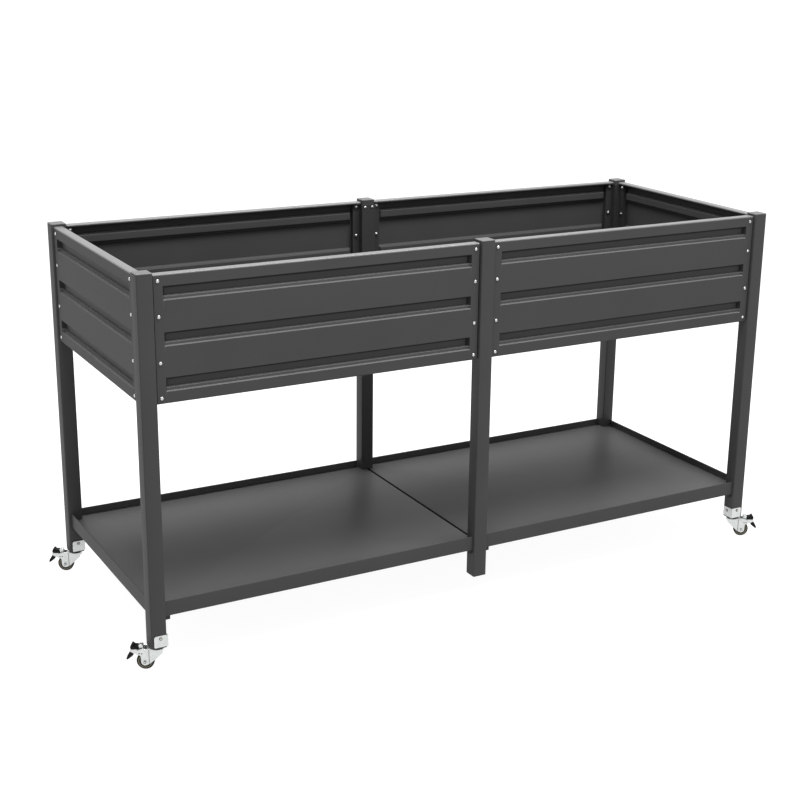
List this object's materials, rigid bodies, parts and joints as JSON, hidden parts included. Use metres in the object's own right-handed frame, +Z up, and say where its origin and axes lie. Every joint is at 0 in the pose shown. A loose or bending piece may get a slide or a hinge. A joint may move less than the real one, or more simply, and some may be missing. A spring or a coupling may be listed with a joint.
{
  "type": "raised planter",
  "caption": "Rectangular raised sheet-metal planter bed with grooved wall panels on square legs, with a low tray shelf and braked swivel casters.",
  "frame": {"origin": "on the floor under the middle of the planter's bounding box", "axes": "+Z up, +X along the length to the right as seen from the front, -Y toward the front"},
  "size_m": [1.8968, 0.7284, 0.956],
  "materials": {
    "frame": "matte powder coat, charcoal grey",
    "panel": "matte powder coat, charcoal grey",
    "bed_floor": "matte powder coat, charcoal grey",
    "shelf": "satin powder coat, charcoal grey",
    "bracket": "matte powder coat, charcoal grey",
    "cap": "satin, charcoal grey",
    "zinc": "bright zinc plate",
    "axle_steel": "plain steel",
    "tyre": "matte black",
    "hub": "matte grey-brown",
    "pedal": "matte black"
  },
  "bodies": {
    "planter": {"post_front_left": "frame", "post_cap_front_left": "cap", "joining_bracket_front_left": "bracket", "shelf_bracket_front_left": "bracket", "post_front_middle": "frame", "post_cap_front_middle": "cap", "joining_bracket_front_middle": "bracket", "shelf_bracket_front_middle": "bracket", "post_front_right": "frame", "post_cap_front_right": "cap", "joining_bracket_front_right": "bracket", "shelf_bracket_front_right": "bracket", "post_back_left": "frame", "post_cap_back_left": "cap", "joining_bracket_back_left": "bracket", "shelf_bracket_back_left": "bracket", "post_back_middle": "frame", "post_cap_back_middle": "cap", "joining_bracket_back_middle": "bracket", "shelf_bracket_back_middle": "bracket", "post_back_right": "frame", "post_cap_back_right": "cap", "joining_bracket_back_right": "bracket", "shelf_bracket_back_right": "bracket", "panel_front_left": "panel", "panel_front_right": "panel", "panel_back_left": "panel", "panel_back_right": "panel", "panel_left_end": "panel", "panel_right_end": "panel", "bed_floor_left": "bed_floor", "bed_floor_right": "bed_floor", "bed_middle_rail": "bracket", "shelf_middle_rail": "bracket", "shelf_tray_left": "shelf", "shelf_tray_right": "shelf", "caster_mount_front_left": "zinc", "caster_mount_front_right": "zinc", "caster_mount_back_left": "zinc", "caster_mount_back_right": "zinc"},
    "swivel_front_left": {"caster_fork_front_left": "zinc", "caster_axle_front_left": "axle_steel"},
    "wheel_front_left": {"caster_tyre_front_left": "tyre", "caster_hub_front_left": "hub"},
    "brake_front_left": {"caster_pedal_front_left": "pedal"},
    "swivel_front_right": {"caster_fork_front_right": "zinc", "caster_axle_front_right": "axle_steel"},
    "wheel_front_right": {"caster_tyre_front_right": "tyre", "caster_hub_front_right": "hub"},
    "brake_front_right": {"caster_pedal_front_right": "pedal"},
    "swivel_back_left": {"caster_fork_back_left": "zinc", "caster_axle_back_left": "axle_steel"},
    "wheel_back_left": {"caster_tyre_back_left": "tyre", "caster_hub_back_left": "hub"},
    "brake_back_left": {"caster_pedal_back_left": "pedal"},
    "swivel_back_right": {"caster_fork_back_right": "zinc", "caster_axle_back_right": "axle_steel"},
    "wheel_back_right": {"caster_tyre_back_right": "tyre", "caster_hub_back_right": "hub"},
    "brake_back_right": {"caster_pedal_back_right": "pedal"}
  },
  "joints": [
    {"name": "swivel_turn_front_left", "type": "hinge", "parent": "planter", "child": "swivel_front_left", "pos_m": [-0.881, -0.321, 0.054], "axis": [0, 0, 1], "continuous": true},
    {"name": "wheel_spin_front_left", "type": "hinge", "parent": "swivel_front_left", "child": "wheel_front_left", "pos_m": [-0.90438, -0.3075, 0.021], "axis": [-0.5, -0.866, 0], "continuous": true},
    {"name": "brake_press_front_left", "type": "hinge", "parent": "swivel_front_left", "child": "brake_front_left", "pos_m": [-0.91434, -0.30175, 0.0465], "axis": [-0.5, -0.866, 0], "range_deg": [0, 10]},
    {"name": "swivel_turn_front_right", "type": "hinge", "parent": "planter", "child": "swivel_front_right", "pos_m": [0.881, -0.321, 0.054], "axis": [0, 0, 1], "continuous": true},
    {"name": "wheel_spin_front_right", "type": "hinge", "parent": "swivel_front_right", "child": "wheel_front_right", "pos_m": [0.90438, -0.3345, 0.021], "axis": [0.5, 0.866, 0], "continuous": true},
    {"name": "brake_press_front_right", "type": "hinge", "parent": "swivel_front_right", "child": "brake_front_right", "pos_m": [0.91434, -0.34025, 0.0465], "axis": [0.5, 0.866, 0], "range_deg": [0, 10]},
    {"name": "swivel_turn_back_left", "type": "hinge", "parent": "planter", "child": "swivel_back_left", "pos_m": [-0.881, 0.321, 0.054], "axis": [0, 0, 1], "continuous": true},
    {"name": "wheel_spin_back_left", "type": "hinge", "parent": "swivel_back_left", "child": "wheel_back_left", "pos_m": [-0.90438, 0.3345, 0.021], "axis": [-0.5, -0.866, 0], "continuous": true},
    {"name": "brake_press_back_left", "type": "hinge", "parent": "swivel_back_left", "child": "brake_back_left", "pos_m": [-0.91434, 0.34025, 0.0465], "axis": [-0.5, -0.866, 0], "range_deg": [0, 10]},
    {"name": "swivel_turn_back_right", "type": "hinge", "parent": "planter", "child": "swivel_back_right", "pos_m": [0.881, 0.321, 0.054], "axis": [0, 0, 1], "continuous": true},
    {"name": "wheel_spin_back_right", "type": "hinge", "parent": "swivel_back_right", "child": "wheel_back_right", "pos_m": [0.90438, 0.3075, 0.021], "axis": [0.5, 0.866, 0], "continuous": true},
    {"name": "brake_press_back_right", "type": "hinge", "parent": "swivel_back_right", "child": "brake_back_right", "pos_m": [0.91434, 0.30175, 0.0465], "axis": [0.5, 0.866, 0], "range_deg": [0, 10]}
  ]
}
